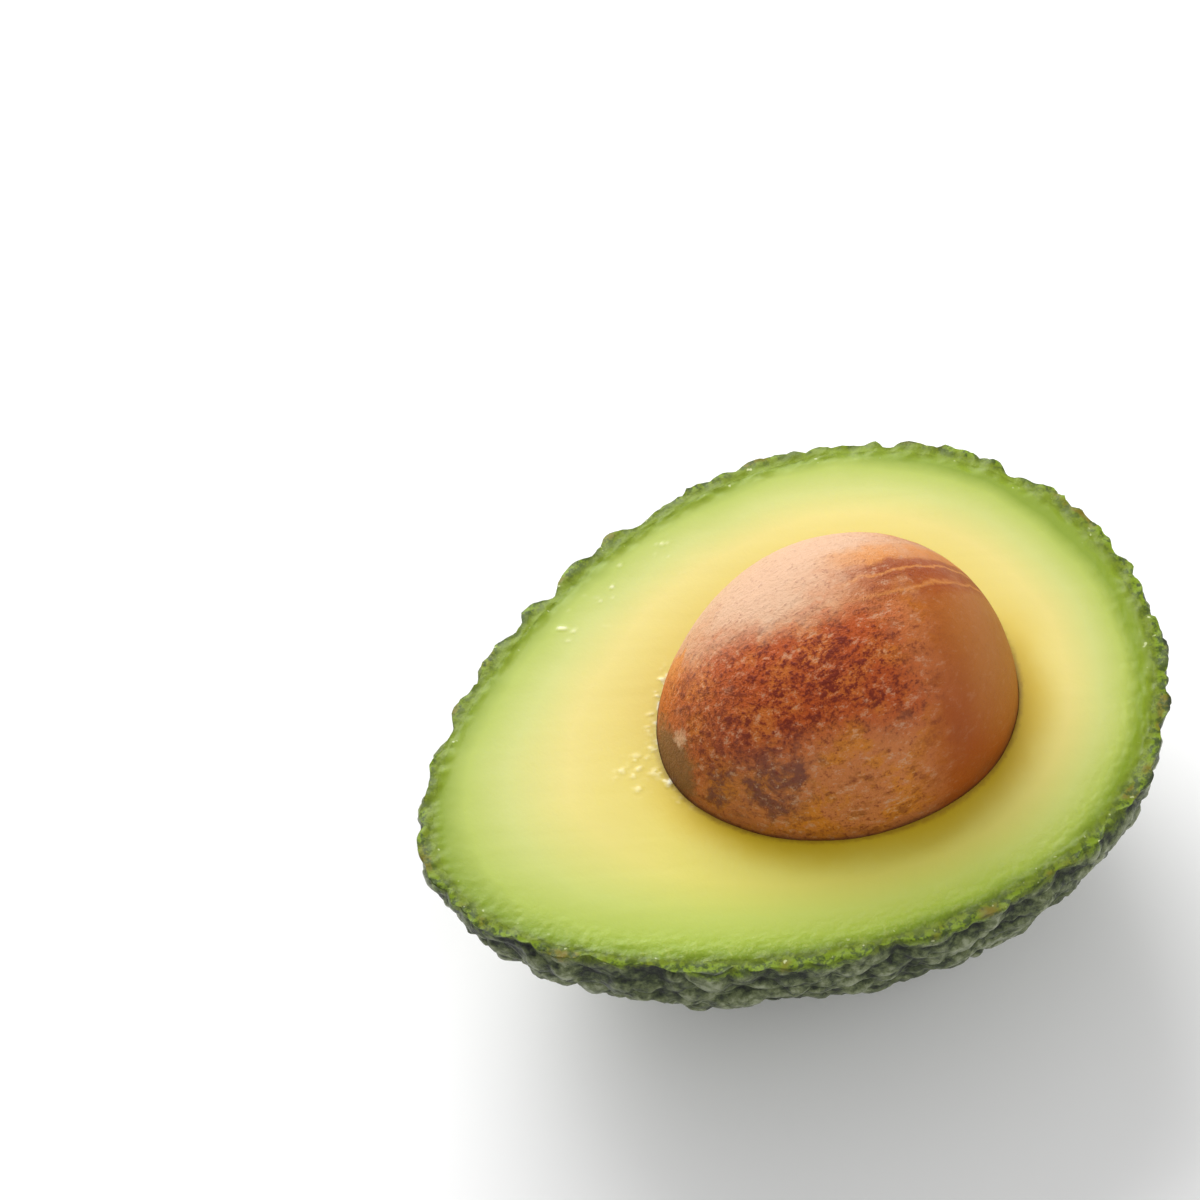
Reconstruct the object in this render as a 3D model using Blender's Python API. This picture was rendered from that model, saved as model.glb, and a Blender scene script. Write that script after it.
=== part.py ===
"""Half an avocado, cut lengthwise, lying on its back with the seed still in it.

Run with: blender --background --python part.py

Three solids that come apart by hand: the skin, a thin bowl; the flesh that fills it; and the seed,
which sits in its hollow in the flesh. The fruit's long axis lies along X, with the broad end at +X.
The cut face is level and looks up, and the back rests on a small flat spot at z = 0.
"""

import math

import bmesh
import bpy

# Driving dimensions, in metres.
FRUIT_LENGTH = 0.0975  # stem end to blossom end, along X
FRUIT_WIDTH = 0.0725  # across the cut face at its widest, along Y
HALF_DEPTH = 0.0365  # from the cut face to the lowest point of the rounded back
FRUIT_TAPER = 0.205  # share by which the blossom end is broader, and the stem end narrower
SKIN_THICKNESS = 0.0013
REST_FLAT_DEPTH = 0.0005  # how far the back is pressed flat where the fruit has lain

SEED_LENGTH = 0.0465  # along X
SEED_WIDTH = 0.0406  # along Y
SEED_THICKNESS = 0.0425  # along Z
SEED_TAPER = 0.10  # the seed is a little narrower at its stem end too
SEED_OFFSET = 0.0064  # the seed's middle lies this far from the fruit's, towards the broad end
SEED_SIDE_OFFSET = -0.0005  # and this far off the long axis
SEED_SINK = 0.0014  # and this far below the cut face

SEAT_GAP = 0.0003  # clearance between pieces that touch

# How finely the round shapes are faceted.
FRUIT_SEGMENTS = 56
FRUIT_RINGS = 28
SEED_SEGMENTS = 44
SEED_RINGS = 22

CUT_FACE_HEIGHT = HALF_DEPTH - REST_FLAT_DEPTH
SEED_CENTRE = (SEED_OFFSET, SEED_SIDE_OFFSET, CUT_FACE_HEIGHT - SEED_SINK)

SKIN_GREEN = (0.045, 0.075, 0.030)
FLESH_YELLOW = (0.80, 0.74, 0.28)
SEED_BROWN = (0.33, 0.13, 0.05)


def clear_scene():
    for obj in list(bpy.data.objects):
        bpy.data.objects.remove(obj)


def principled(name, colour, roughness):
    """A plain material of one colour."""
    material = bpy.data.materials.new(name)
    material.use_nodes = True
    shader = material.node_tree.nodes["Principled BSDF"]
    shader.inputs["Base Color"].default_value = (*colour, 1.0)
    shader.inputs["Roughness"].default_value = roughness
    shader.inputs["Metallic"].default_value = 0.0
    material.diffuse_color = (*colour, 1.0)
    return material


def widest_share(taper):
    """How much wider than a plain ellipsoid a tapered one gets: the largest sin t (1 + taper cos t)."""
    if taper == 0.0:
        return 1.0
    cosine = (math.sqrt(1.0 + 8.0 * taper**2) - 1.0) / (4.0 * taper)
    return math.sqrt(1.0 - cosine**2) * (1.0 + taper * cosine)


def tapered_ellipsoid(half_sizes, taper, centre, segments, rings):
    """A bmesh egg along X: an ellipsoid whose sections swell towards +X and shrink towards -X."""
    half_length, half_width, half_thickness = half_sizes
    swell = widest_share(taper)
    egg = bmesh.new()
    bmesh.ops.create_uvsphere(egg, u_segments=segments, v_segments=rings, radius=1.0)
    for vert in egg.verts:
        x, y, z = vert.co
        section = (1.0 + taper * x) / swell
        vert.co = (
            centre[0] + half_length * x,
            centre[1] + half_width * y * section,
            centre[2] + half_thickness * z * section,
        )
    return egg


def keep_above(egg, height):
    """Slices off what is below the height, and closes the slice with one flat face."""
    slice_level(egg, height, (0.0, 0.0, -1.0))


def keep_below(egg, height):
    """Slices off what is above the height, and closes the slice with one flat face."""
    slice_level(egg, height, (0.0, 0.0, 1.0))


def slice_level(egg, height, away):
    everything = egg.verts[:] + egg.edges[:] + egg.faces[:]
    bmesh.ops.bisect_plane(egg, geom=everything, plane_co=(0.0, 0.0, height), plane_no=away, clear_outer=True)
    open_edges = [edge for edge in egg.edges if edge.is_boundary]
    bmesh.ops.edgeloop_fill(egg, edges=open_edges)


def fruit_egg(inset):
    """The whole fruit's outside, moved inwards by the inset, with the resting spot pressed flat."""
    half_sizes = (FRUIT_LENGTH / 2 - inset, FRUIT_WIDTH / 2 - inset, HALF_DEPTH - inset)
    centre = (0.0, 0.0, CUT_FACE_HEIGHT)
    egg = tapered_ellipsoid(half_sizes, FRUIT_TAPER, centre, FRUIT_SEGMENTS, FRUIT_RINGS)
    keep_above(egg, inset)
    return egg


def seed_egg(outset):
    """The seed's outside, moved outwards by the outset."""
    half_sizes = (SEED_LENGTH / 2 + outset, SEED_WIDTH / 2 + outset, SEED_THICKNESS / 2 + outset)
    return tapered_ellipsoid(half_sizes, SEED_TAPER, SEED_CENTRE, SEED_SEGMENTS, SEED_RINGS)


def object_from(egg, name, material=None):
    """Turns a bmesh into an object in the scene, with its faces pointing out."""
    bmesh.ops.recalc_face_normals(egg, faces=egg.faces[:])
    mesh = bpy.data.meshes.new(name)
    egg.to_mesh(mesh)
    egg.free()
    mesh.shade_smooth()
    mesh.set_sharp_from_angle(angle=math.radians(40.0))
    obj = bpy.data.objects.new(name, mesh)
    bpy.context.scene.collection.objects.link(obj)
    if material:
        mesh.materials.append(material)
    return obj


def cutter_from(egg, name):
    """A helper that only cuts: it isn't a piece of the fruit."""
    cutter = object_from(egg, name)
    cutter.hide_render = True
    cutter.display_type = "WIRE"
    return cutter


def cut(obj, cutter):
    boolean = obj.modifiers.new("Cut " + cutter.name, "BOOLEAN")
    boolean.operation = "DIFFERENCE"
    boolean.solver = "EXACT"
    boolean.object = cutter


def make_skin():
    """A bowl of even thickness: the outside egg, halved, less the egg that the flesh fills."""
    outside = fruit_egg(inset=0.0)
    keep_below(outside, CUT_FACE_HEIGHT)
    skin = object_from(outside, "skin", principled("skin", SKIN_GREEN, 0.55))
    cut(skin, cutter_from(fruit_egg(inset=SKIN_THICKNESS), "skin_hollow_cutter"))
    return skin


def make_flesh():
    """Fills the skin up to the cut face, with the hollow that the seed leaves."""
    filling = fruit_egg(inset=SKIN_THICKNESS + SEAT_GAP)
    keep_below(filling, CUT_FACE_HEIGHT)
    flesh = object_from(filling, "flesh", principled("flesh", FLESH_YELLOW, 0.45))
    cut(flesh, cutter_from(seed_egg(outset=SEAT_GAP), "seed_hollow_cutter"))
    return flesh


def make_seed():
    """The whole seed: a little over half of it lies in the flesh, and the rest stands proud."""
    return object_from(seed_egg(outset=0.0), "seed", principled("seed", SEED_BROWN, 0.4))


clear_scene()
fruit = bpy.data.objects.new("avocado_half", None)
bpy.context.scene.collection.objects.link(fruit)
for piece in (make_skin(), make_flesh(), make_seed()):
    piece.parent = fruit
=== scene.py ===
# %% [markdown]
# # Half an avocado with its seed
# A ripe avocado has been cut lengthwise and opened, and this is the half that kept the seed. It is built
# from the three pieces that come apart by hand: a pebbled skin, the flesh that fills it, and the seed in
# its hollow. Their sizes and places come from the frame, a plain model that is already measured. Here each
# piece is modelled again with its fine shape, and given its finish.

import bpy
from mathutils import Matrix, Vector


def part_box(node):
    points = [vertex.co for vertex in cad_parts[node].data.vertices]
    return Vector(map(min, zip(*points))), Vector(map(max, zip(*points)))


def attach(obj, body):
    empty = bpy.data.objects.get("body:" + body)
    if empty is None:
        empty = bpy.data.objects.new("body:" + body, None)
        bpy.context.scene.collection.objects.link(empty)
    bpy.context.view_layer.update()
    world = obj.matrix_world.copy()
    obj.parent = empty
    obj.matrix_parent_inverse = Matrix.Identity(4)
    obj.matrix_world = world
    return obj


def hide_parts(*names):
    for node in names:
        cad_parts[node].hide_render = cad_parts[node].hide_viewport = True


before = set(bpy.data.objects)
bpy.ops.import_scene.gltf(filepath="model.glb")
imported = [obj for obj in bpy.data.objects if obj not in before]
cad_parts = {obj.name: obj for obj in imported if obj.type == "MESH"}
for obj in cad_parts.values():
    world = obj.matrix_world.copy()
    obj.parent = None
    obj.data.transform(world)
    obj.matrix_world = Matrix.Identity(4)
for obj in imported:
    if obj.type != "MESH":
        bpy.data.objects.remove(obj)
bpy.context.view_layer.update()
print("frame nodes:", sorted(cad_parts))

# %% [markdown]
# ## Sizes
# The fruit is an egg: a sphere stretched along three axes and tapered along its length, so that one end
# is broader than the other. The cut goes through its middle, level, at `CUT_HEIGHT`. The stem end is
# at -X and the broad end at +X. All sizes are in metres, with 1 mm written as `MM`.

# %% Sizes from the frame
import math

import bpy
from mathutils import Vector

MM = 0.001
SKIN_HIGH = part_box("skin")[1]
FLESH_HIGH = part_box("flesh")[1]
SEED_LOW, SEED_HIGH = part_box("seed")

CUT_HEIGHT = SKIN_HIGH.z
PRESSED_FLAT = 0.5 * MM  # how far the back is pressed flat on the surface it rests on
FRUIT_HALF = Vector((SKIN_HIGH.x, SKIN_HIGH.y, CUT_HEIGHT + PRESSED_FLAT))
FRUIT_CENTRE = Vector((0, 0, CUT_HEIGHT))
FRUIT_TAPER = 0.205  # how much the fruit widens towards its broad end, as a share
PEEL = SKIN_HIGH.x - FLESH_HIGH.x  # from the outside of the skin to the flesh

SEED_HALF = (SEED_HIGH - SEED_LOW) / 2
SEED_CENTRE = (SEED_HIGH + SEED_LOW) / 2
SEED_TAPER = 0.10
print("cut height", round(CUT_HEIGHT / MM, 1), "mm, seed", [round(2 * s / MM, 1) for s in SEED_HALF], "mm")

# %% [markdown]
# ## Tools for modelling
# Blender's mesh operators act on whatever is selected, so every step starts with nothing selected.
# `only` selects one piece, and `select_points` selects the points of a mesh whose place passes a test.
# `cut_away_above` slices a piece level and throws the upper part away. `apply_modifiers` and `join` make
# one plain mesh of what was built. All of this could be done by hand in edit mode; written down, it gives
# the same result every time.

# %% Select, cut, apply and join
def only(piece):
    """Leaves object mode with this piece alone selected and active."""
    if bpy.context.object and bpy.context.object.mode != "OBJECT":
        bpy.ops.object.mode_set(mode="OBJECT")
    bpy.ops.object.select_all(action="DESELECT")
    piece.select_set(True)
    bpy.context.view_layer.objects.active = piece


def select_points(piece, chosen):
    """Selects the mesh's points whose place passes the test, and nothing else."""
    only(piece)
    bpy.ops.object.mode_set(mode="EDIT")
    bpy.ops.mesh.select_mode(type="VERT")
    bpy.ops.mesh.select_all(action="DESELECT")
    bpy.ops.object.mode_set(mode="OBJECT")
    for point in piece.data.vertices:
        point.select = chosen(point.co)
    bpy.ops.object.mode_set(mode="EDIT")


def cut_away_above(piece, height):
    """Cuts the whole piece level at a height, throws away what is above it and leaves it open."""
    only(piece)
    bpy.ops.object.mode_set(mode="EDIT")
    bpy.ops.mesh.select_all(action="SELECT")
    bpy.ops.mesh.bisect(
        plane_co=(0, 0, height),
        plane_no=(0, 0, 1),
        clear_outer=True,
        threshold=1e-6,
    )
    bpy.ops.object.mode_set(mode="OBJECT")


def apply_modifiers(piece):
    """Makes what the modifiers show the piece's own mesh."""
    only(piece)
    for modifier in list(piece.modifiers):
        bpy.ops.object.modifier_apply(modifier=modifier.name)


def join(pieces, name):
    """Joins pieces into the first one and names it."""
    only(pieces[0])
    for piece in pieces[1:]:
        piece.select_set(True)
    bpy.ops.object.join()
    joined = bpy.context.object
    joined.name = name
    joined.data.name = name
    return joined


def count_triangles(piece):
    """How many triangles a piece has once its faces are split into them."""
    return sum(len(face.vertices) - 2 for face in piece.data.polygons)


# %% [markdown]
# ## The egg
# Skin, flesh and seed are all eggs. An egg could be spun from half an outline, but a ball takes the same
# three steps for all of them: it starts with as many points round it as its finest detail needs, the
# Taper of a Simple Deform modifier widens it towards one end, and scaling it to its real size comes last.
# The widest place of a tapered ball is a little more than 1, which `widest_share` works out, so that the
# egg ends up exactly as wide as asked.

# %% Make an egg
def widest_share(taper):
    """How wide a ball of radius 1 becomes at its widest once it is tapered."""
    x = (math.sqrt(1 + 8 * taper * taper) - 1) / (4 * taper)
    return math.sqrt(1 - x * x) * (1 + taper * x)


def make_egg(name, half_sizes, taper, centre, segments, rings, halvings=0):
    """An egg whose ball starts with segments and rings, and is split finer in halvings rounds."""
    bpy.ops.object.select_all(action="DESELECT")
    bpy.ops.mesh.primitive_uv_sphere_add(segments=segments, ring_count=rings, radius=1)
    egg = bpy.context.object
    egg.name = name
    egg.data.name = name
    if halvings:
        finer = egg.modifiers.new("finer", "SUBSURF")
        finer.levels = halvings
        finer.render_levels = halvings
    deform = egg.modifiers.new("taper", "SIMPLE_DEFORM")
    deform.deform_method = "TAPER"
    deform.deform_axis = "X"
    deform.factor = 2 * taper
    apply_modifiers(egg)
    bpy.ops.object.mode_set(mode="EDIT")
    bpy.ops.mesh.select_all(action="SELECT")
    share = widest_share(taper)
    bpy.ops.transform.resize(
        value=(half_sizes.x, half_sizes.y / share, half_sizes.z / share),
        center_override=(0, 0, 0),
    )
    bpy.ops.transform.translate(value=centre)
    bpy.ops.object.mode_set(mode="OBJECT")
    print(name, "egg:", len(egg.data.vertices), "points")
    return egg


# %% [markdown]
# ## Arithmetic on sockets
# Surface relief and colour both come from node trees, and most of their nodes are plain arithmetic.
# `Wire` wraps the output of a node, so that `1 - mask * 0.5` adds the Math nodes that it says. Any other
# node comes from `make`, which takes the node's type, its settings and what its inputs hold. The same
# class serves the geometry nodes that shape a surface and the shader nodes that colour it.

# %% The Wire class
class Wire:
    """The output of a node. Arithmetic on it adds Math nodes to its tree."""

    def __init__(self, tree, socket=None):
        self.tree = tree
        self.socket = socket

    def make(self, kind, settings=None, inputs=None, output=0):
        """Adds a node: its settings are made first, then its inputs are set or linked."""
        node = self.tree.nodes.new(kind)
        for name, value in (settings or {}).items():
            if name == "stops":
                set_stops(node.color_ramp, value)
            else:
                setattr(node, name, value)
        for name, value in (inputs or {}).items():
            if isinstance(value, Wire):
                self.tree.links.new(value.socket, node.inputs[name])
            else:
                node.inputs[name].default_value = value
        return Wire(self.tree, node.outputs[output])

    def math(self, operation, first, second=0.0, **settings):
        """A Math node on two values, each a wire or a number, added to this wire's tree."""
        return self.make(
            "ShaderNodeMath", {"operation": operation, **settings}, {0: first, 1: second}
        )

    def __add__(self, other):
        return self.math("ADD", self, other)

    __radd__ = __add__

    def __sub__(self, other):
        return self.math("SUBTRACT", self, other)

    def __rsub__(self, other):
        return self.math("SUBTRACT", other, self)

    def __mul__(self, other):
        return self.math("MULTIPLY", self, other)

    __rmul__ = __mul__

    def __truediv__(self, other):
        return self.math("DIVIDE", self, other)

    def __rtruediv__(self, other):
        return self.math("DIVIDE", other, self)

    def __pow__(self, other):
        return self.math("POWER", self, other)

    def root(self):
        return self.math("SQRT", self)

    def clamped(self):
        """The value kept between 0 and 1."""
        return self.math("ADD", self, 0.0, use_clamp=True)

    def ramp(self, low, high):
        """0 below low, 1 above high, and a smooth step between them. It falls if low is above high."""
        return self.make(
            "ShaderNodeMapRange",
            {"interpolation_type": "SMOOTHSTEP"},
            {0: self, 1: low, 2: high, 3: 0.0, 4: 1.0},
        )

    def stretched(self, x_share, y_share, z_share):
        """This place with its three axes scaled, so that a pattern on it is drawn out or squeezed."""
        return self.vector("MULTIPLY", (x_share, y_share, z_share))

    def turned(self, angle):
        """This place turned about the vertical axis."""
        return self.make(
            "ShaderNodeVectorRotate", {"rotation_type": "Z_AXIS"}, {"Vector": self, "Angle": angle}
        )

    def noise(self, size, detail=2.0, roughness=0.5, distortion=0.0, shift=0.0):
        """Cloudy noise from 0 to 1 at this place, with lumps about size metres across."""
        return self.make(
            "ShaderNodeTexNoise",
            {"noise_dimensions": "4D"},
            {
                "Vector": self,
                "W": shift,
                "Scale": 1 / size,
                "Detail": detail,
                "Roughness": roughness,
                "Distortion": distortion,
            },
        )

    def cells(self, size, shift=0.0):
        """Distance to the nearest of a scatter of points about size metres apart, as a share of size."""
        moved = self.vector("ADD", (shift * size, shift * size, 0))
        return self.make(
            "ShaderNodeTexVoronoi",
            {"voronoi_dimensions": "3D", "feature": "F1"},
            {"Vector": moved, "Scale": 1 / size},
            "Distance",
        )

    def vector(self, operation, other, output=0):
        """A Vector Math node on this vector and another."""
        return self.make("ShaderNodeVectorMath", {"operation": operation}, {0: self, 1: other}, output)

    def scaled(self, share):
        """A vector made longer or shorter."""
        return self.make(
            "ShaderNodeVectorMath", {"operation": "SCALE"}, {0: self, "Scale": share}
        )

    def split(self):
        """The x, y and z of a vector."""
        first = self.make("ShaderNodeSeparateXYZ", None, {0: self})
        node = first.socket.node
        return [Wire(self.tree, output) for output in node.outputs]

    def mix(self, other, share, way="MIX"):
        """This colour with another mixed in by a share from 0 to 1."""
        return blend_colours(self, self, other, share, way)


def blend_colours(wire, colour, other, share, way="MIX"):
    """Mixes two colours, each a wire or four numbers. The wire only says which tree to add to."""
    return wire.make(
        "ShaderNodeMix",
        {"data_type": "RGBA", "blend_type": way, "clamp_factor": True},
        {0: share, 6: colour, 7: other},
        2,
    )


def set_stops(ramp, stops):
    """Gives a colour ramp its stops, each a place from 0 to 1 and a colour."""
    for element in list(ramp.elements)[1:]:
        ramp.elements.remove(element)
    ramp.elements[0].position, ramp.elements[0].color = stops[0]
    for place, colour in stops[1:]:
        ramp.elements.new(place).color = colour


def tint(red, green, blue):
    """A colour as it is named on a screen, 0 to 255, in the linear light that Blender mixes."""
    linear = []
    for share in (red / 255, green / 255, blue / 255):
        linear.append(share / 12.92 if share <= 0.04045 else ((share + 0.055) / 1.055) ** 2.4)
    return (*linear, 1.0)


# %% [markdown]
# ## Relief by geometry nodes
# Pebbles, knife marks and dents are real shape, not painted shading: they show on the outline and in the
# mesh itself. They could be sculpted, or pushed out by a Displace modifier, but a node tree can mix many
# patterns and leave values behind for the colouring. `add_relief` gives a piece such a tree in a geometry
# nodes modifier. A recipe gets the place and normal of each point as wires, and returns how far the point
# moves and which values it should remember. The modifier is then applied, so the piece is a plain mesh
# again.

# %% Add relief
def add_relief(piece, name, recipe):
    """Moves the points of a piece by a recipe, and stores the values that it remembers."""
    tree = bpy.data.node_groups.new(name, "GeometryNodeTree")
    tree.interface.new_socket("Geometry", in_out="INPUT", socket_type="NodeSocketGeometry")
    tree.interface.new_socket("Geometry", in_out="OUTPUT", socket_type="NodeSocketGeometry")
    start = Wire(tree)
    place = start.make("GeometryNodeInputPosition")
    normal = start.make("GeometryNodeInputNormal")
    offset, remembered = recipe(place, normal)
    shape = start.make("NodeGroupInput")
    for key, value in remembered.items():
        shape = start.make(
            "GeometryNodeStoreNamedAttribute",
            {"data_type": "FLOAT", "domain": "POINT"},
            {"Geometry": shape, "Name": key, "Value": value},
        )
    moved = start.make("GeometryNodeSetPosition", None, {"Geometry": shape, "Offset": offset})
    end = tree.nodes.new("NodeGroupOutput")
    tree.links.new(moved.socket, end.inputs[0])
    modifier = piece.modifiers.new(name, "NODES")
    modifier.node_group = tree
    apply_modifiers(piece)
    print(piece.name, "relief:", name, "remembers", sorted(remembered))


# %% [markdown]
# ## Where a point is in the fruit
# The colour of the flesh depends on how far it is from the seed and from the skin. `egg_level` is 0 at
# the middle of an egg and 1 on its surface. `distance_inside` and `distance_outside` turn that into
# metres, measured along the line from the egg's middle.

# %% Egg distances
def egg_level(place, half_sizes, taper, centre):
    """The level of a place, and its distance from the egg's middle."""
    offset = place.vector("SUBTRACT", tuple(centre))
    x, y, z = offset.split()
    along = x / half_sizes.x
    widening = (along * taper + 1) / widest_share(taper)
    across = y / (widening * half_sizes.y)
    upward = z / (widening * half_sizes.z)
    level = (along * along + across * across + upward * upward).root()
    return level, offset.vector("LENGTH", (0, 0, 0), "Value")


def distance_inside(place, half_sizes, taper, centre):
    """Metres from a point inside the egg out to its surface."""
    level, reach = egg_level(place, half_sizes, taper, centre)
    return reach / level - reach


def distance_outside(place, half_sizes, taper, centre):
    """Metres from a point outside the egg in to its surface."""
    level, reach = egg_level(place, half_sizes, taper, centre)
    return reach - reach / level


# %% [markdown]
# ## Skin
# The skin is a leathery peel, a little over a millimetre thick, with a rough outside: rounded pebbles two
# to four millimetres wide, drawn out along the fruit, with dark creases between them. One bowl with a
# Solidify modifier would carry the pebbles through to the inside too. So the two walls are made as
# separate eggs: the outer one with points every half millimetre, to hold the pebbles, and the smooth inner
# one with few rings. Both have the same number of points round them and are cut level, and their two open
# edges are bridged by the cut edge of the peel.

# %% Skin sizes
ROUND_POINTS = 576  # points round the fruit, one every half millimetre
OUTER_HALVINGS = 2  # the outer ball starts with a quarter of the points each way
OUTER_RINGS = 60
INNER_RINGS = 24
CUT_EDGE_ROWS = 6
EDGE_TOLERANCE = 0.15 * MM  # the pebbles move the points of the open edge a little up or down
KNOB_SIZE = 6.0 * MM
KNOB_HEIGHT = 0.8 * MM
PEBBLE_LENGTH = 3.6 * MM
PEBBLE_WIDTH = 2.6 * MM
PEBBLE_HEIGHT = 1.25 * MM
PEBBLE_LEVEL = 0.7  # the height share that stays on the egg, so that pebbles stand out and creases sink in
GRAIN_SHARE = 0.45  # a grain's width as a share of a pebble's
PIT_SIZE = 2.4 * MM
PATCH_SIZE = 8 * MM  # stretches of skin with higher and lower pebbles
SWELL_SIZE = 14 * MM
SWELL_HEIGHT = 1.2 * MM
SWELL_LEVEL = 0.6
WANDER_SIZE = 6 * MM
WANDER_REACH = 4 * MM
SMOOTH_ANGLE = math.radians(60)


# %% Pebbled outer bowl
def wandering(place, size, reach):
    """The place moved about by slow noise, so that a pattern on it loses its regular spacing."""
    wobble = place.make(
        "ShaderNodeTexNoise", None, {"Vector": place, "Scale": 1 / size, "Detail": 2.0}, "Color"
    )
    return place.vector("ADD", wobble.vector("SUBTRACT", (0.5, 0.5, 0.5)).scaled(reach))


def pebbled(place, normal):
    """Scattered knobs, pebbles with pits between them, smaller grains and a slow swell below."""
    wandered = wandering(place, WANDER_SIZE, WANDER_REACH)
    drawn_out = wandered.stretched(PEBBLE_WIDTH / PEBBLE_LENGTH, 1, 1)
    knobs = (1 - (drawn_out.cells(KNOB_SIZE, shift=5.0) * 1.5) ** 2).clamped()
    domes = (1 - (drawn_out.cells(PEBBLE_WIDTH) * 1.2) ** 2).clamped()
    pits = drawn_out.noise(PIT_SIZE, detail=2.0, roughness=0.6, shift=1.0).ramp(0.46, 0.3)
    grains = 1 - drawn_out.cells(PEBBLE_WIDTH * GRAIN_SHARE, shift=3.0)
    patches = place.noise(PATCH_SIZE, detail=2.0, shift=5.0).ramp(0.3, 0.6)
    swell = place.noise(SWELL_SIZE, detail=1.0, shift=8.0)
    height = domes * (patches * 0.6 + 0.5) + knobs * 0.15 + (grains - 0.5) * 0.25
    height = (height - pits * 0.25 + 0.05).clamped()
    lift = (height - PEBBLE_LEVEL) * PEBBLE_HEIGHT + knobs * KNOB_HEIGHT
    lift = lift + (swell - SWELL_LEVEL) * SWELL_HEIGHT
    return normal.scaled(lift), {"pebble": height}


coarse_points = ROUND_POINTS // 2**OUTER_HALVINGS
outer = make_egg(
    "skin_outer", FRUIT_HALF, FRUIT_TAPER, FRUIT_CENTRE, coarse_points, OUTER_RINGS, OUTER_HALVINGS
)
cut_away_above(outer, CUT_HEIGHT)
add_relief(outer, "pebbles", pebbled)
print("pebbled bowl", [round(s / MM, 1) for s in outer.dimensions], "mm")


# %% [markdown]
# A soft fruit that has lain on a worktop is pressed a little flat there. Slicing the bowl would leave a
# hole to fill. Instead the points that would be below the surface are moved up onto it, so the pebbles
# are squashed and the bowl stays closed.

# %% Flat spot under the bowl
def pressed_flat(place, normal):
    """Lifts what is below the floor up to it."""
    height = place.split()[2]
    below = place.math("MINIMUM", height, 0.0)
    lift = place.make("ShaderNodeCombineXYZ", None, {"Z": below * -1})
    return lift, {}


add_relief(outer, "flat_spot", pressed_flat)


# %% [markdown]
# The inner wall is turned inside out, because the inside of a bowl faces its middle. Bridging the two
# open edges then gives the cut edge of the peel, in a few rows of faces, so that it can be roughened. The
# pebbles have moved the outer edge a little, so its points are found within `EDGE_TOLERANCE` of the cut.

# %% Inner wall and cut edge
def turn_inside_out(piece):
    """Makes all faces of a piece face the other way."""
    only(piece)
    bpy.ops.object.mode_set(mode="EDIT")
    bpy.ops.mesh.select_all(action="SELECT")
    bpy.ops.mesh.flip_normals()
    bpy.ops.object.mode_set(mode="OBJECT")


def bridge_at_cut(piece, rows):
    """Joins the two open edges at the cut height by rows of faces, and returns the number of faces."""
    select_points(piece, lambda co: abs(co.z - CUT_HEIGHT) < EDGE_TOLERANCE)
    bpy.ops.mesh.bridge_edge_loops(number_cuts=rows - 1, interpolation="LINEAR")
    bpy.ops.object.mode_set(mode="OBJECT")
    return len(piece.data.polygons)


INNER_HALF = FRUIT_HALF - Vector((PEEL, PEEL, PEEL))
inner = make_egg("skin_inner", INNER_HALF, FRUIT_TAPER, FRUIT_CENTRE, ROUND_POINTS, INNER_RINGS)
cut_away_above(inner, CUT_HEIGHT)
turn_inside_out(inner)
skin = join([outer, inner], "avocado_skin")
print("skin faces with its cut edge:", bridge_at_cut(skin, CUT_EDGE_ROWS))


# %% [markdown]
# A knife drags on the tough peel, so its cut edge is ragged, with lumps about a millimetre across and
# wider tears. The edge remembers how far each point is through the peel, for its colouring.

# %% Ragged cut edge
LUMP_SIZE = 1.3 * MM
LUMP_HEIGHT = 1.0 * MM
TEAR_SIZE = 3.6 * MM
TEAR_HEIGHT = 0.8 * MM


def torn_lumps(place):
    """How far the dragging knife lifts or tears the edge at this place, in metres."""
    lumps = place.noise(LUMP_SIZE, detail=3.0, roughness=0.6)
    torn = place.noise(TEAR_SIZE, detail=1.0, shift=2.0)
    return (lumps - 0.5) * LUMP_HEIGHT + (torn - 0.5) * TEAR_HEIGHT


def on_the_cut(height):
    """1 on the cut and 0 below it, at a height above the floor."""
    return height.ramp(CUT_HEIGHT - 2 * EDGE_TOLERANCE, CUT_HEIGHT - EDGE_TOLERANCE)


def ragged(place, normal):
    """The torn edge, which remembers the cut and the way through the peel."""
    on_cut = on_the_cut(place.split()[2])
    depth = distance_outside(place, INNER_HALF, FRUIT_TAPER, FRUIT_CENTRE)
    upward = place.make("ShaderNodeCombineXYZ", None, {"Z": torn_lumps(place) * on_cut})
    return upward, {"cut": on_cut, "through_peel": depth}


add_relief(skin, "ragged_edge", ragged)


# %% [markdown]
# ## Skin finish
# The outside is dark green and waxy. The tops of the pebbles are painted paler, as painted sheen, with
# painted grey highlights on the highest, and the creases between them are painted nearly black, as painted
# shade. One tone runs through a colour ramp to give all of these.
# It follows the height that the relief remembered, so colour and shape agree, and noise breaks it up.
# Where the peel is cut it shows its inside: lime green next to the flesh, olive and brown further out, and
# dark at the very edge. Just below the cut the outside is green too. `rim_colour` colours both sides of
# the line where peel and flesh meet, so the two pieces match there.

# %% Material helpers
def start_material(name):
    """A new material: its shader, its place wire and its empty tree otherwise."""
    material = bpy.data.materials.new(name)
    material.use_nodes = True
    tree = material.node_tree
    shader = tree.nodes["Principled BSDF"]
    place = Wire(tree).make("ShaderNodeTexCoord", None, None, "Object")
    return material, shader, place


def plug(shader, **wires):
    """Links wires to the shader's sockets, with spaces written as underscores."""
    for name, wire in wires.items():
        wire.tree.links.new(wire.socket, shader.inputs[name.replace("_", " ")])


def remembered(place, name):
    """A value that the relief stored on the mesh."""
    return place.make(
        "ShaderNodeAttribute", {"attribute_type": "GEOMETRY", "attribute_name": name}, None, "Fac"
    )


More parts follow.
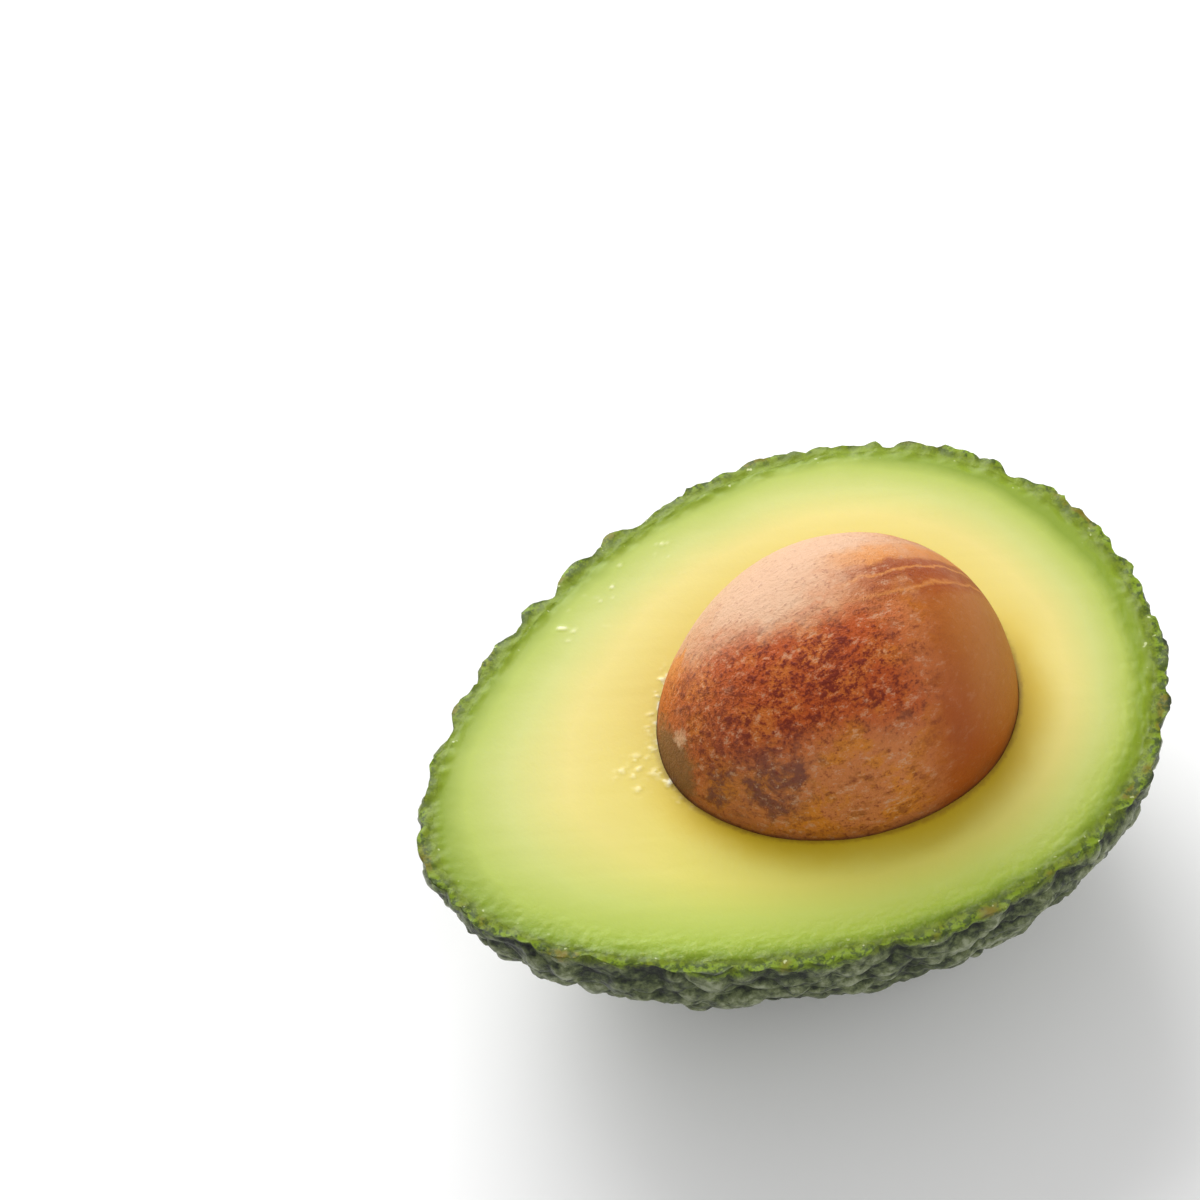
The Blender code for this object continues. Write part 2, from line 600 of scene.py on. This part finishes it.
def bumped(place, height, depth):
    """A normal that is roughened by a height from 0 to 1, as if it were depth metres high."""
    return place.make(
        "ShaderNodeBump", None, {"Strength": 1.0, "Distance": depth, "Height": height}
    )


def wear(piece, material):
    """Gives a piece this material and no other."""
    piece.data.materials.clear()
    piece.data.materials.append(material)


# %% Colour of the cut near the peel
YOUNG_GREEN = tint(167, 181, 78)
LEAF_GREEN = tint(124, 146, 14)
RIM_GREEN = tint(102, 118, 2)
GROOVE_GREEN = tint(60, 78, 2)
LIME = tint(116, 140, 2)
OLIVE = tint(62, 80, 4)
PEEL_BROWN = tint(112, 88, 12)
TORN_WHITE = tint(206, 214, 158)
PEEL_DARK = tint(40, 50, 22)

RIM_WANDER = 2.4 * MM  # how far the borders between the greens stray
RIM_SHIFT = 0.1 * MM
FAR_SIDE_SHIFT = 0.8 * MM  # how much further out the greens start on the far side
FLECK_SIZE = 0.9 * MM


def far_side(place):
    """0 on the near side of the cut and 1 on the far side, where the green band is narrower."""
    return place.split()[1].ramp(-20 * MM, 25 * MM)


def rim_colour(place, outward, flesh_colour):
    """The cut near the peel. outward is metres from the peel's inner face, and negative in the flesh."""
    wander = place.noise(2.8 * MM, detail=4.0, roughness=0.6, shift=1.0) - 0.5
    reach = outward + wander * RIM_WANDER - RIM_SHIFT - far_side(place) * FAR_SIDE_SHIFT
    spots = place.noise(FLECK_SIZE, detail=3.0, roughness=0.65, shift=5.0)
    warm = place.noise(6 * MM, detail=3.0, shift=9.0)
    flecks = place.noise(FLECK_SIZE, detail=1.0, shift=11.0)
    band = blend_colours(place, LIME, OLIVE, spots.ramp(0.42, 0.6))
    band = band.mix(PEEL_BROWN, warm.ramp(0.5, 0.62) * spots.ramp(0.66, 0.4) * 0.8)
    colour = blend_colours(place, flesh_colour, RIM_GREEN, reach.ramp(-1.8 * MM, 0.4 * MM) * 0.7)
    colour = colour.mix(GROOVE_GREEN, reach.ramp(-0.9 * MM, 0.4 * MM) * spots.ramp(0.42, 0.58) * 0.65)
    colour = colour.mix(band, reach.ramp(0.3 * MM, 0.8 * MM))
    near_peel = outward.ramp(-1.6 * MM, -0.2 * MM)
    colour = colour.mix(TORN_WHITE, flecks.ramp(0.7, 0.77) * near_peel * 0.7)
    return colour.mix(PEEL_DARK, reach.ramp(1.5 * MM, 2.1 * MM))


# %% Skin material
# The darkest colour is painted shade in the creases, the pale pebble-top colour is painted sheen, and the
# grey one is a painted highlight on the highest pebbles.
CREASE_SHADE = tint(18, 25, 11)
SKIN_GREEN = tint(55, 65, 33)
PEBBLE_TOP_SHEEN = tint(97, 106, 66)
GREY_HIGHLIGHT = tint(144, 150, 120)

MARGIN_STRAY = 4 * MM  # how far the lower border of the green margin strays
MARGIN_FAR_SHIFT = 1.2 * MM  # how much narrower the margin is on the far side
SKIN_GRAIN_DEPTH = 0.9 * MM


def skin_material():
    material, shader, place = start_material("avocado_skin")
    height = place.split()[2]
    pebble = remembered(place, "pebble")
    cut = remembered(place, "cut")
    through = remembered(place, "through_peel")
    fine = place.noise(0.6 * MM, detail=4.0, roughness=0.65)
    blotches = place.noise(6 * MM, detail=3.0, roughness=0.6, shift=4.0)
    glints = place.noise(1.2 * MM, detail=4.0, roughness=0.65, shift=7.0)
    beads = 1 - place.cells(1.4 * MM, shift=13.0)
    # The tone puts painted shade in the creases, and painted sheen and painted highlights on the pebble
    # tops and glints.
    tone = pebble * 0.6 + (glints - 0.5) * 2.0 + (beads - 0.5) * 0.4 + (blotches - 0.5) * 0.4 + 0.15
    stops = [(0.15, CREASE_SHADE), (0.4, SKIN_GREEN), (0.68, PEBBLE_TOP_SHEEN), (1.0, GREY_HIGHLIGHT)]
    outside = place.make("ShaderNodeValToRGB", {"stops": stops}, {0: tone})
    edge = rim_colour(place, through, LEAF_GREEN)
    margin = height + (glints - 0.5) * MARGIN_STRAY + far_side(place) * MARGIN_FAR_SHIFT
    green_margin = margin.ramp(CUT_HEIGHT - 1.4 * MM, CUT_HEIGHT - 0.3 * MM)
    outside = outside.mix(rim_colour(place, through - 0.8 * MM, RIM_GREEN), green_margin * 0.85)
    plug(shader, Base_Color=outside.mix(edge, cut))
    rough_outside = 0.58 - pebble.ramp(0.4, 0.9) * 0.2 + (fine - 0.5) * 0.2
    plug(shader, Roughness=rough_outside * (1 - cut) + 0.5 * cut)
    relief = (beads * 0.4 + glints * 0.3 + fine * 0.3) * (1 - cut * 0.7)
    plug(shader, Normal=bumped(place, relief, SKIN_GRAIN_DEPTH))
    shader.inputs["Specular IOR Level"].default_value = 0.35
    return material


wear(skin, skin_material())
only(skin)
bpy.ops.object.shade_smooth_by_angle(angle=SMOOTH_ANGLE)
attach(skin, "root")
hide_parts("skin")
print("skin triangles:", count_triangles(skin))

# %% [markdown]
# ## Flesh
# The flesh fills the skin up to the cut. Its cut face is a flat ring round the hollow that holds the seed.
# A Boolean could cut the seed's shape out of it, but leaves long thin faces that can't carry fine detail.
# So the flesh is built like the skin: an outer egg, a hollow that is turned inside out, and a bridge
# between their open edges, this time with many rows. The hollow takes its dents from the seed's own
# recipe, so the two fit.

# %% Dents of the seed
DENT_SIZE = 17 * MM
DENT_DEPTH = 0.9 * MM
WRINKLE_SIZE = 2.2 * MM
WRINKLE_DEPTH = 0.16 * MM


def dented(place, normal):
    """Shallow dents and fine wrinkles. The hollow has them too, because the flesh grew round the seed."""
    dents = place.noise(DENT_SIZE, detail=1.0, shift=1.0)
    wrinkles = place.noise(WRINKLE_SIZE, detail=3.0, roughness=0.6, shift=4.0)
    lift = (dents - 0.5) * DENT_DEPTH + (wrinkles - 0.5) * WRINKLE_DEPTH
    return normal.scaled(lift), {}


# %% Flesh shape
FLESH_RINGS = 24
HOLLOW_RINGS = 24
FACE_ROWS = 84
HOLLOW_ROOM = 0.05 * MM  # how much larger the hollow is than the seed

FLESH_OVERLAP = Vector((0.1, 0.1, -0.02)) * MM  # the flesh sinks a little into the wall of the peel

FLESH_HALF = INNER_HALF + FLESH_OVERLAP
HOLLOW_HALF = SEED_HALF + Vector((HOLLOW_ROOM, HOLLOW_ROOM, HOLLOW_ROOM))
body = make_egg("flesh_body", FLESH_HALF, FRUIT_TAPER, FRUIT_CENTRE, ROUND_POINTS, FLESH_RINGS)
cut_away_above(body, CUT_HEIGHT)
hollow = make_egg("hollow", HOLLOW_HALF, SEED_TAPER, SEED_CENTRE, ROUND_POINTS, HOLLOW_RINGS)
add_relief(hollow, "dents", dented)
cut_away_above(hollow, CUT_HEIGHT)
turn_inside_out(hollow)
flesh = join([body, hollow], "avocado_flesh")
print("flesh faces with its cut face:", bridge_at_cut(flesh, FACE_ROWS))


# %% [markdown]
# The face isn't as flat as it looks. The knife leaves slow waves, faint parallel marks and a few short
# scratches, and the flesh is granular close to the peel. At the rim it rises and falls with the torn edge
# of the peel, so no gap opens between them, and at the seed it is flat. At the stem end of the seed some
# flesh has torn into small crumbs. The face remembers how far each point is from rim and seed.

# %% Cut face relief
CRUMB_PATCH = Vector((SEED_LOW.x - 3.0 * MM, 1.5 * MM, CUT_HEIGHT))
CRUMB_REACH = 4.0 * MM
STEM_SIDE = Vector((-0.97, 0.25, 0))  # from the seed's middle to where crumbs cling to it
KNIFE_ANGLE = math.radians(24)
SCRATCH_PLACE = Vector((-12 * MM, 27 * MM, CUT_HEIGHT))
SCRATCH_REACH = 14 * MM
WAVE_SIZE = 22 * MM
WAVE_HEIGHT = 0.4 * MM
MARK_SIZE = 2.2 * MM
MARK_HEIGHT = 0.05 * MM
GRAIN_SIZE = 0.9 * MM
GRAIN_HEIGHT = 0.5 * MM
CRUMB_SIZE = 1.0 * MM
CRUMB_HEIGHT = 0.3 * MM
SCRATCH_SIZE = 0.8 * MM
SCRATCH_HEIGHT = 0.15 * MM


def facing(direction, towards):
    """How far a direction faces towards another, from -1 to 1."""
    return direction.vector("DOT_PRODUCT", tuple(towards.normalized()), "Value")


def crumb_mask(place, to_seed):
    """1 where torn crumbs lie: faintly in a patch beyond the stem end, and clinging to the seed."""
    lying = place.vector("DISTANCE", tuple(CRUMB_PATCH), "Value").ramp(CRUMB_REACH, 1.5 * MM)
    side = place.vector("SUBTRACT", tuple(SEED_CENTRE)).vector("NORMALIZE", (0, 0, 0))
    clinging = to_seed.ramp(1.5 * MM, 0.6 * MM) * facing(side, STEM_SIDE).ramp(0.86, 0.95)
    return lying.math("MAXIMUM", lying * 0.45, clinging)


def cut_face(place, normal):
    """The relief of the cut face. Points below the cut stay where they are."""
    y, z = place.split()[1:]
    on_cut = on_the_cut(z)
    to_rim = distance_inside(place, INNER_HALF, FRUIT_TAPER, FRUIT_CENTRE)
    to_seed = distance_outside(place, SEED_HALF, SEED_TAPER, SEED_CENTRE)
    across = (to_seed / (to_seed + to_rim)).clamped()
    waves = place.noise(WAVE_SIZE, detail=1.0)
    marks = place.turned(KNIFE_ANGLE).stretched(0.12, 1, 1).noise(MARK_SIZE, detail=1.0)
    grain = place.noise(GRAIN_SIZE, detail=2.0, roughness=0.6, shift=3.0)
    grainy = to_rim.ramp(6 * MM, 0.5 * MM) * y.ramp(12 * MM, -14 * MM)
    drawn_out = place.turned(KNIFE_ANGLE).stretched(0.2, 1, 1)
    scratches = drawn_out.noise(SCRATCH_SIZE, detail=1.0, shift=7.0)
    near_scratches = place.vector("DISTANCE", tuple(SCRATCH_PLACE), "Value")
    scratches = scratches.ramp(0.62, 0.72) * near_scratches.ramp(SCRATCH_REACH, 8 * MM)
    scratches = scratches * to_rim.ramp(9 * MM, 6 * MM) * to_rim.ramp(1.5 * MM, 3 * MM)
    grains = place.noise(0.6 * MM, detail=2.0, shift=15.0)
    bits = (place.cells(CRUMB_SIZE, shift=9.0) + (grains - 0.5) * 0.9).ramp(0.55, 0.25)
    bits = bits * place.noise(1.8 * MM, shift=4.0).ramp(0.4, 0.58)
    crumbs = bits * crumb_mask(place, to_seed)
    lift = (waves - 0.5) * WAVE_HEIGHT + (marks - 0.5) * MARK_HEIGHT
    lift = lift + (grain - 0.5) * grainy * GRAIN_HEIGHT
    lift = lift + crumbs * CRUMB_HEIGHT + scratches * SCRATCH_HEIGHT
    lift = lift * to_rim.ramp(0.0, 1.2 * MM) + torn_lumps(place) * to_rim.ramp(1.5 * MM, 0.0)
    lift = lift * on_cut * to_seed.ramp(-0.1 * MM, 0.4 * MM)
    upward = place.make("ShaderNodeCombineXYZ", None, {"Z": lift})
    pale = (crumbs + scratches * 0.8).clamped()
    return upward, {"across": across, "to_rim": to_rim, "to_seed": to_seed, "pale": pale}


add_relief(flesh, "cut_face", cut_face)

# %% [markdown]
# ## Flesh finish
# Ripe flesh is butter yellow by the seed and turns yellow-green and then green towards the peel. The
# change follows the share of the way from seed to peel, so the green band is widest at the ends of the
# fruit; a plain radial gradient would cut across the egg shape. On the near side the yellow by the seed is
# deeper and darker, partly a deeper yellow and partly a painted shadow of the seed. The whole near side is
# painted darker as painted shade, a thin brown line of painted contact shadow follows the seed, and green
# grains show close to the peel. Light goes a millimetre or two into the flesh, which the shader's
# subsurface does, and the moist cut has a soft shine.

# %% Flesh material
BUTTER = tint(213, 192, 92)
CREAM = tint(214, 200, 118)
PALE_LIME = tint(191, 195, 112)
# A deeper yellow by the seed on the near side, which also paints the seed's shadow there.
DEEP_YELLOW_AND_SHADOW = tint(202, 168, 12)
# Painted shade: this tint darkens the whole near side of the cut face.
PAINTED_SHADE_TINT = tint(240, 250, 190)  # multiplies the colour on the near side of the cut
CRUMB_CREAM = tint(252, 246, 214)
# Painted contact shadow: a thin brown line in the flesh along the seed on the near side.
SEED_CONTACT_SHADOW = tint(138, 96, 14)

FLESH_GRAIN_DEPTH = 0.12 * MM
LIGHT_DEPTH = 2.0 * MM  # how deep light goes into the flesh


def flesh_material():
    material, shader, place = start_material("avocado_flesh")
    x, y = place.split()[:2]
    across = remembered(place, "across")
    to_rim = remembered(place, "to_rim")
    to_seed = remembered(place, "to_seed")
    pale = remembered(place, "pale")
    clouds = place.noise(9 * MM, detail=3.0, roughness=0.55, shift=6.0)
    fine = place.noise(0.7 * MM, detail=2.0, roughness=0.6, shift=2.0)
    broad_end = x.ramp(18 * MM, 46 * MM)
    share = across + (clouds - 0.5) * 0.12 + broad_end * across * 0.1
    stops = [
        (0.0, BUTTER),
        (0.4, CREAM),
        (0.66, PALE_LIME),
        (0.86, YOUNG_GREEN),
        (0.98, LEAF_GREEN),
    ]
    colour = place.make("ShaderNodeValToRGB", {"stops": stops}, {0: share})
    # near_side marks the near half of the face; it carries the painted shade and the green grains.
    near_side = (y + (clouds - 0.5) * (12 * MM)).ramp(9 * MM, -26 * MM) * x.ramp(42 * MM, 4 * MM)
    # Painted shadow of the seed: the yellow by the seed on the near side is made deeper and darker where
    # the seed's shadow falls.
    deep_and_seed_shadow = (to_seed + (clouds - 0.5) * (4 * MM)).ramp(6 * MM, 0.0) * y.ramp(7 * MM, -12 * MM)
    colour = colour.mix(DEEP_YELLOW_AND_SHADOW, deep_and_seed_shadow * 0.9)
    # Painted shade on the near side of the face.
    colour = colour.mix(PAINTED_SHADE_TINT, near_side, "MULTIPLY")
    grainy = to_rim.ramp(6 * MM, 0.5 * MM) * near_side
    colour = colour.mix(YOUNG_GREEN, fine.ramp(0.5, 0.7) * grainy * 0.5)
    colour = rim_colour(place, to_rim * -1, colour)
    # Painted contact shadow of the seed on the flesh, on the near side.
    contact_shadow = (to_seed + (fine - 0.5) * (0.8 * MM)).ramp(0.9 * MM, 0.1 * MM)
    colour = colour.mix(SEED_CONTACT_SHADOW, contact_shadow * y.ramp(14 * MM, -8 * MM) * 0.6)
    colour = colour.mix(CRUMB_CREAM, pale * 0.9)
    plug(shader, Base_Color=colour)
    plug(shader, Roughness=0.45 + (clouds - 0.5) * 0.2)
    plug(shader, Normal=bumped(place, fine * (grainy * 1.2 + 0.15), FLESH_GRAIN_DEPTH))
    shader.inputs["Specular IOR Level"].default_value = 0.35
    shader.inputs["Subsurface Weight"].default_value = 0.3
    shader.inputs["Subsurface Radius"].default_value = (0.9, 0.8, 0.25)
    shader.inputs["Subsurface Scale"].default_value = LIGHT_DEPTH
    return material


wear(flesh, flesh_material())
only(flesh)
bpy.ops.object.shade_smooth_by_angle(angle=SMOOTH_ANGLE)
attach(flesh, "root")
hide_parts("flesh")
print("flesh triangles:", count_triangles(flesh))

# %% [markdown]
# ## Seed
# The seed is one hard egg, nearly round, with a thin papery coat. It isn't quite even: it has shallow
# dents and fine wrinkles, from the same recipe as its hollow. A coarse ball that is split finer twice has
# more even faces near its top than a ball that starts with very many points.

# %% Seed shape
SEED_POINTS = 72
SEED_RINGS = 48
SEED_HALVINGS = 2

seed = make_egg(
    "avocado_seed", SEED_HALF, SEED_TAPER, SEED_CENTRE, SEED_POINTS, SEED_RINGS, SEED_HALVINGS
)
add_relief(seed, "dents", dented)

# %% [markdown]
# ## Seed finish
# The coat is a thin brown paper that dried on. It is painted pale where it faces up and to the far side,
# partly a paler coat and partly a painted highlight, and smooth orange-brown at the broad end, where a few
# rust-coloured veins run in and the very end is tan. It is darkest in a mottled band that runs from the
# stem end over the top. The stem end has a violet-brown patch, a brown tip and a small torn spot, and a
# soft dark seam of painted shadow lies where the seed meets the flesh. A painted picture would have to be
# wrapped round the seed. Noise needs no wrapping, and the places on the seed are given as directions from
# its middle, so a patch is round wherever it lies.

# %% Seed material
# A pale coat colour; where the seed faces the window lamp it is also a painted highlight.
PALE_COAT_AND_HIGHLIGHT = tint(200, 160, 128)
SEED_ORANGE = tint(152, 70, 6)
SEED_END_TAN = tint(186, 124, 52)
SEED_BROWN = tint(188, 112, 58)
OCHRE = tint(196, 118, 30)
UMBER = tint(134, 72, 30)
MAUVE = tint(120, 68, 50)
TIP_BROWN = tint(126, 88, 50)
TORN_COAT = tint(214, 172, 134)
BAND_RUST = tint(172, 74, 16)
BAND_DARK = tint(110, 30, 2)
BAND_ORANGE = tint(188, 104, 32)
EDGE_ORANGE = tint(206, 124, 44)
# Painted shadow where the seed meets the flesh.
SEAM_SHADOW = tint(72, 38, 18)
VEIN_TAN = tint(196, 124, 56)
VEIN_RUST = tint(142, 62, 10)
VEIN_GLOW = tint(202, 130, 56)

BAND_SIDE = Vector((0.24, 0.91, 0.34))  # square to the plane that the dark band lies in
# Where the pale coat and painted highlight sit.
PALE_AND_HIGHLIGHT_SIDE = Vector((-0.1, 0.75, 0.65))
END_TAN_SIDE = Vector((0.87, -0.26, 0.41))
MAUVE_SIDE = Vector((-0.76, -0.4, 0.51))
STEM_EDGE = Vector((-0.86, 0.4, 0.29))
STEM_TIP = Vector((-0.98, 0.03, 0.12))
TORN_SPOT = Vector((-0.94, 0.05, 0.34))

VEIN_START = -0.06  # the turn about the seed's long axis where the veins begin, in radians
VEIN_SPAN = 0.6
MAUVE_REACH = 0.36  # these reaches are radii of round patches, in radians
STEM_EDGE_REACH = 0.2
STEM_TIP_REACH = 0.24
TORN_SPOT_REACH = 0.06
# How far the painted shadow seam strays.
SEAM_SHADOW_STRAY = 1.6 * MM
SEED_GRAIN_DEPTH = 0.8 * MM


def patch(direction, towards, radius, loose):
    """1 in a round patch of the seed, radius in radians, with an edge that a noise value loosens."""
    reach = facing(direction, towards) + loose
    return reach.ramp(math.cos(radius * 1.25), math.cos(radius * 0.7))


def vein_colour(direction, wobble):
    """The stripes of the veins, which run along the seed to its broad end."""
    y, z = direction.split()[1:]
    turn = direction.math("ARCTAN2", y, z) + wobble
    stops = [
        (0.0, SEED_ORANGE),
        (0.05, VEIN_RUST),
        (0.09, VEIN_TAN),
        (0.15, SEED_ORANGE),
        (0.28, VEIN_RUST),
        (0.36, VEIN_RUST),
        (0.4, VEIN_TAN),
        (0.44, VEIN_RUST),
        (0.53, VEIN_RUST),
        (0.6, VEIN_TAN),
        (0.8, VEIN_GLOW),
        (1.0, PALE_COAT_AND_HIGHLIGHT),
    ]
    across = (turn - VEIN_START) / VEIN_SPAN
    colour = direction.make("ShaderNodeValToRGB", {"stops": stops}, {0: across})
    return colour, across.ramp(-0.2, 0.08) * across.ramp(1.3, 0.7)


def seed_material():
    material, shader, place = start_material("avocado_seed")
    direction = place.vector("SUBTRACT", tuple(SEED_CENTRE)).vector("NORMALIZE", (0, 0, 0))
    x, y = direction.split()[:2]
    height = place.split()[2]
    streaky = place.stretched(0.6, 1, 1)
    specks = streaky.noise(0.9 * MM, detail=4.0, roughness=0.75, shift=2.0)
    grit = place.noise(0.5 * MM, detail=2.0, roughness=0.7, shift=14.0)
    mottle = streaky.noise(2.2 * MM, detail=5.0, roughness=0.7, distortion=0.5, shift=3.0)
    patches = place.noise(6 * MM, detail=4.0, roughness=0.6, shift=7.0)
    slow = place.noise(11 * MM, detail=2.0, shift=12.0)
    loose = (patches - 0.5) * 0.5 + (mottle - 0.5) * 0.45
    smooth_end = (x + y * -0.35 + loose * 0.6).ramp(0.3, 0.7)

    low = blend_colours(place, SEED_BROWN, OCHRE, (patches * 0.6 + mottle * 0.4).ramp(0.47, 0.56))
    low = low.mix(UMBER, (mottle * 0.6 + specks * 0.4).ramp(0.5, 0.62) * 0.75)
    end = blend_colours(place, SEED_ORANGE, UMBER, slow.ramp(0.5, 0.72) * 0.6)
    colour = blend_colours(place, low, end, smooth_end)
    end_tan = (facing(direction, END_TAN_SIDE) + loose * 0.15).ramp(0.76, 1.0)
    colour = colour.mix(SEED_END_TAN, end_tan * 0.55)
    mauve = patch(direction, MAUVE_SIDE, MAUVE_REACH, loose * 0.3) * mottle.ramp(0.35, 0.6)
    colour = colour.mix(MAUVE, mauve)
    # Pale coat and painted highlight on the side that faces up and towards the window lamp.
    pale = (facing(direction, PALE_AND_HIGHLIGHT_SIDE) + loose * 1.1).ramp(0.5, 0.9)
    colour = colour.mix(PALE_COAT_AND_HIGHLIGHT, pale)
    colour = colour.mix(SEED_BROWN, mottle.ramp(0.46, 0.62) * pale * (1 - pale) * 2.4)
    stem_edge = patch(direction, STEM_EDGE, STEM_EDGE_REACH, loose * 0.25)
    colour = colour.mix(EDGE_ORANGE, stem_edge * 0.8)

    off_band = direction.math("ABSOLUTE", facing(direction, BAND_SIDE))
    band = (off_band + loose * 0.45).ramp(0.48, 0.2) * (x + loose * 0.5).ramp(0.42, 0.1)
    band = band * (x.ramp(-1.0, -0.5) * 0.4 + 0.6)
    darkness = grit * 0.3 + specks * 0.45 + mottle * 0.25 + (slow - 0.5) * 0.12
    band_colour = blend_colours(place, BAND_RUST, BAND_DARK, darkness.ramp(0.46, 0.58))
    band_colour = band_colour.mix(BAND_ORANGE, patches.ramp(0.5, 0.6) * darkness.ramp(0.56, 0.44) * 0.75)
    band_colour = band_colour.mix(MAUVE, patches.ramp(0.46, 0.36) * mottle.ramp(0.42, 0.56) * 0.6)
    colour = colour.mix(band_colour, band)

    wobble = (slow - 0.5) * 0.3 + (patches - 0.5) * 0.16
    wobble = wobble + (mottle - 0.5) * 0.12 + (specks - 0.5) * 0.06
    stripes, veined = vein_colour(direction, wobble)
    veined = veined * (x + loose * 0.4).ramp(0.0, 0.45) * (1.15 - patches.ramp(0.4, 0.7) * 0.7)
    colour = colour.mix(stripes, (veined * (0.55 + mottle * 0.5)).clamped())

    dotted = (specks * 0.5 + grit * 0.5).ramp(0.53, 0.63) * (1 - smooth_end * 0.8) * (1 - pale * 0.5)
    colour = colour.mix(BAND_DARK, dotted * 0.6)
    colour = colour.mix(PALE_COAT_AND_HIGHLIGHT, specks.ramp(0.46, 0.34) * (1 - smooth_end * 0.8) * 0.5)
    stem_tip = patch(direction, STEM_TIP, STEM_TIP_REACH, loose * 0.2)
    colour = colour.mix(TIP_BROWN, stem_tip * 0.9)
    torn_spot = patch(direction, TORN_SPOT, TORN_SPOT_REACH, loose * 0.02)
    colour = colour.mix(TORN_COAT, torn_spot * 0.7)
    # Painted contact shadow: the seed darkens just above where it meets the flesh.
    above_cut = height - CUT_HEIGHT + (mottle - 0.5) * SEAM_SHADOW_STRAY
    seam_shadow = above_cut.ramp(3.0 * MM, 0.5 * MM) * 0.35 + above_cut.ramp(0.8 * MM, 0.1 * MM) * 0.4
    colour = colour.mix(SEAM_SHADOW, seam_shadow)
    plug(shader, Base_Color=colour)
    plug(shader, Roughness=0.52 + (mottle - 0.5) * 0.3 + band * 0.1)
    relief = (grit * 0.3 + specks * 0.4 + mottle * 0.3) * (1 - smooth_end * 0.7)
    plug(shader, Normal=bumped(place, relief, SEED_GRAIN_DEPTH))
    shader.inputs["Specular IOR Level"].default_value = 0.22
    shader.inputs["Coat Weight"].default_value = 0.04
    shader.inputs["Coat Roughness"].default_value = 0.4
    return material


wear(seed, seed_material())
only(seed)
bpy.ops.object.shade_smooth()
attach(seed, "root")
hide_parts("seed")
print("seed triangles:", count_triangles(seed))

# %% [markdown]
# ## Floor, light and camera
# A pale floor in a soft white room, with two large square lamps, because a small lamp casts hard shadows.
# `window` stands behind the fruit and gives the main light, and `white_card` stands at the front right and
# lifts the shadows, as a sheet of card does in a studio. The camera has a long lens and looks down on the
# cut face. It is aimed a little to the left of and beyond the fruit, which puts the fruit right of and
# below the middle of the picture.

# %% Floor and surroundings
FLOOR_SIZE = 6.0
FLOOR_WHITE = tint(246, 246, 246)
ROOM_LIGHT = 0.56

bpy.ops.object.select_all(action="DESELECT")
bpy.ops.mesh.primitive_plane_add(size=FLOOR_SIZE, location=(0, 0, 0))
floor = bpy.context.object
floor.name = "floor"
floor_material, floor_shader = start_material("pale_floor")[:2]
floor_shader.inputs["Base Color"].default_value = FLOOR_WHITE
floor_shader.inputs["Roughness"].default_value = 0.9
wear(floor, floor_material)

surroundings = bpy.data.worlds.new("soft_white_room")
bpy.context.scene.world = surroundings
surroundings.use_nodes = True
background = surroundings.node_tree.nodes["Background"]
background.inputs["Color"].default_value = (1.0, 1.0, 1.0, 1.0)
background.inputs["Strength"].default_value = ROOM_LIGHT
bpy.context.scene.view_settings.view_transform = "Standard"
print("floor", FLOOR_SIZE, "m square, room light", ROOM_LIGHT)


# %% Lamps
def add_lamp(name, place, size, power):
    """A square area lamp that points at the fruit."""
    bpy.ops.object.light_add(type="AREA", location=place)
    lamp = bpy.context.object
    lamp.name = name
    lamp.data.size = size
    lamp.data.energy = power
    lamp.rotation_euler = (FRUIT_CENTRE - Vector(place)).to_track_quat("-Z", "Y").to_euler()
    print(name, "lamp:", size, "m wide,", power, "W")


WINDOW_PLACE = (0.02, 0.39, 0.3)
WINDOW_SIZE = 0.42
WINDOW_POWER = 3.1
CARD_PLACE = (0.25, -0.45, 0.42)
CARD_SIZE = 0.6
CARD_POWER = 1.2
add_lamp("window", WINDOW_PLACE, WINDOW_SIZE, WINDOW_POWER)
add_lamp("white_card", CARD_PLACE, CARD_SIZE, CARD_POWER)

# %% Camera
CAMERA_AZIMUTH = math.radians(-28.5)
CAMERA_ELEVATION = math.radians(58)
CAMERA_DISTANCE = 0.665
CAMERA_LENS = 160.5  # mm, on a sensor 36 mm wide
AIM_LEFT = 0.0232
AIM_BEYOND = 0.01474
CLIP_START = 0.01

outward = Vector(
    (
        math.sin(CAMERA_AZIMUTH) * math.cos(CAMERA_ELEVATION),
        -math.cos(CAMERA_AZIMUTH) * math.cos(CAMERA_ELEVATION),
        math.sin(CAMERA_ELEVATION),
    )
)
rightward = Vector((math.cos(CAMERA_AZIMUTH), math.sin(CAMERA_AZIMUTH), 0))
upward = outward.cross(rightward)
aim = FRUIT_CENTRE - rightward * AIM_LEFT + upward * AIM_BEYOND
bpy.ops.object.camera_add(location=FRUIT_CENTRE + outward * CAMERA_DISTANCE)
camera = bpy.context.object
camera.data.lens = CAMERA_LENS
camera.data.clip_start = CLIP_START
level = (-outward).to_track_quat("-Z", "Y")
swing = (-outward).rotation_difference(aim - camera.location)
camera.rotation_euler = (swing @ level).to_euler()
bpy.context.scene.camera = camera
print("camera at", [round(c, 3) for c in camera.location])
